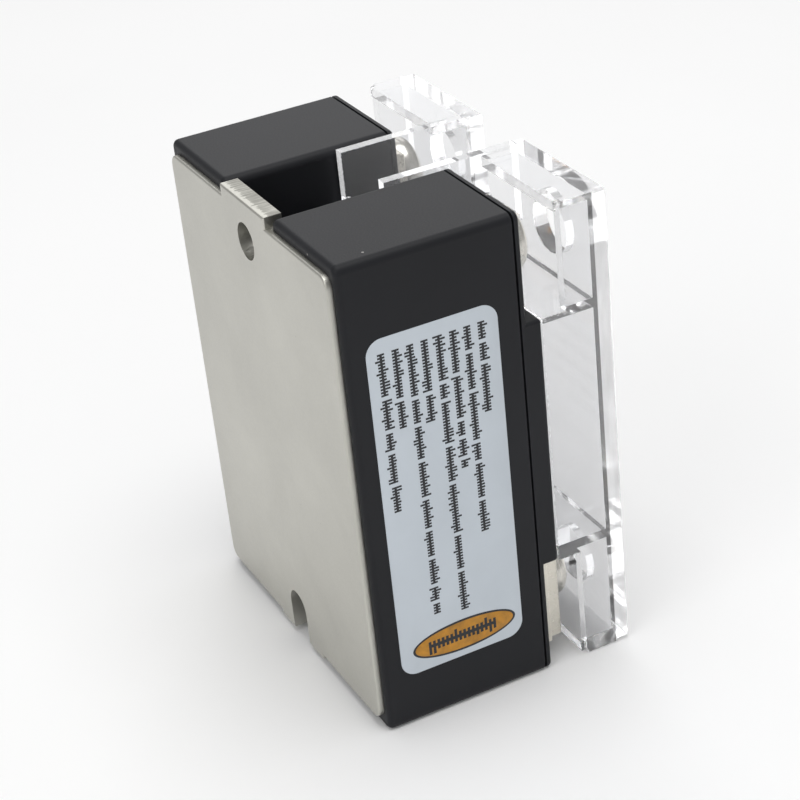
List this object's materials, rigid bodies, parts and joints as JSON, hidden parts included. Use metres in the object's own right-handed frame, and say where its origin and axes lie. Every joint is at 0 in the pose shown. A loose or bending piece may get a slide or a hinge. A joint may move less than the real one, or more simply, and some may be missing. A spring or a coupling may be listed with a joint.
{
  "type": "solid state relay",
  "caption": "Block solid state relay on a metal base plate, with screw terminals at both ends and a clear push-on cover.",
  "frame": {"origin": "bottom centre of the whole relay as it stands on its output end", "axes": "+Z along the relay towards the input terminals, +Y out of the base plate, -Y out of the clear cover"},
  "size_m": [0.045, 0.0336, 0.06],
  "materials": {
    "plate_metal": "satin nickel-plated sheet",
    "case_plastic": "fine matt moulded",
    "clear_plastic": "clear polished moulding",
    "side_label_print": "printed satin film",
    "front_label_print": "printed satin film",
    "contact_metal": "nickel-plated strip",
    "screw_metal": "nickel-plated steel",
    "ceramic_white": "alumina ceramic",
    "copper": "bare copper",
    "silicon": "metallised silicon",
    "board_laminate": "green solder mask",
    "component_black": "moulded epoxy",
    "capacitor_case": "dipped film capacitor",
    "resistor_body": "lacquered resistor",
    "indicator_red": "clear red",
    "potting_black": "cast fill"
  },
  "bodies": {
    "relay": {"base_plate": "plate_metal", "housing_case": "case_plastic", "terminal_deck": "case_plastic", "side_label": "side_label_print", "front_label": "front_label_print", "ceramic_substrate": "ceramic_white", "copper_pads": "copper", "thyristor_a": "silicon", "thyristor_b": "silicon", "gate_pins": "contact_metal", "control_board": "board_laminate", "optocoupler": "component_black", "snubber_capacitor": "capacitor_case", "snubber_resistor": "resistor_body", "input_resistors": "component_black", "drive_transistor": "component_black", "indicator_led": "indicator_red", "light_pipe": "indicator_red", "potting_compound": "potting_black", "output_1_strip": "contact_metal", "output_1_nut": "screw_metal", "output_2_strip": "contact_metal", "output_2_nut": "screw_metal", "input_3_strip": "contact_metal", "input_3_nut": "screw_metal", "input_4_strip": "contact_metal", "input_4_nut": "screw_metal"},
    "cover": {"clear_cover": "clear_plastic"},
    "output_1_clamp_body": {"output_1_clamp": "contact_metal"},
    "output_1_screw_body": {"output_1_screw": "screw_metal", "output_1_spring_washer": "screw_metal"},
    "output_2_clamp_body": {"output_2_clamp": "contact_metal"},
    "output_2_screw_body": {"output_2_screw": "screw_metal", "output_2_spring_washer": "screw_metal"},
    "input_3_clamp_body": {"input_3_clamp": "contact_metal"},
    "input_3_screw_body": {"input_3_screw": "screw_metal"},
    "input_4_clamp_body": {"input_4_clamp": "contact_metal"},
    "input_4_screw_body": {"input_4_screw": "screw_metal"}
  },
  "joints": [
    {"name": "cover_slide", "type": "slide", "parent": "relay", "child": "cover", "axis": [0, -1, 0], "range_m": [0, 0.012]},
    {"name": "output_1_clamp_lift", "type": "slide", "parent": "relay", "child": "output_1_clamp_body", "axis": [0, -1, 0], "range_m": [0, 0.0021]},
    {"name": "output_1_screw_turn", "type": "hinge", "parent": "output_1_clamp_body", "child": "output_1_screw_body", "pos_m": [-0.0127, -0.0089, 0.0076], "axis": [0, -1, 0], "range_deg": [0, 1080]},
    {"name": "output_2_clamp_lift", "type": "slide", "parent": "relay", "child": "output_2_clamp_body", "axis": [0, -1, 0], "range_m": [0, 0.0021]},
    {"name": "output_2_screw_turn", "type": "hinge", "parent": "output_2_clamp_body", "child": "output_2_screw_body", "pos_m": [0.0127, -0.0089, 0.0076], "axis": [0, -1, 0], "range_deg": [0, 1080]},
    {"name": "input_3_clamp_lift", "type": "slide", "parent": "relay", "child": "input_3_clamp_body", "axis": [0, -1, 0], "range_m": [0, 0.0021]},
    {"name": "input_3_screw_turn", "type": "hinge", "parent": "input_3_clamp_body", "child": "input_3_screw_body", "pos_m": [-0.0127, -0.0075, 0.0524], "axis": [0, -1, 0], "range_deg": [0, 1080]},
    {"name": "input_4_clamp_lift", "type": "slide", "parent": "relay", "child": "input_4_clamp_body", "axis": [0, -1, 0], "range_m": [0, 0.0021]},
    {"name": "input_4_screw_turn", "type": "hinge", "parent": "input_4_clamp_body", "child": "input_4_screw_body", "pos_m": [0.0127, -0.0075, 0.0524], "axis": [0, -1, 0], "range_deg": [0, 1080]}
  ],
  "couplings": [
    {"joint": "output_1_screw_turn", "follows": "output_1_clamp_lift", "rad_per_m": 8975.9},
    {"joint": "output_2_screw_turn", "follows": "output_2_clamp_lift", "rad_per_m": 8975.9},
    {"joint": "input_3_screw_turn", "follows": "input_3_clamp_lift", "rad_per_m": 8975.9},
    {"joint": "input_4_screw_turn", "follows": "input_4_clamp_lift", "rad_per_m": 8975.9}
  ]
}
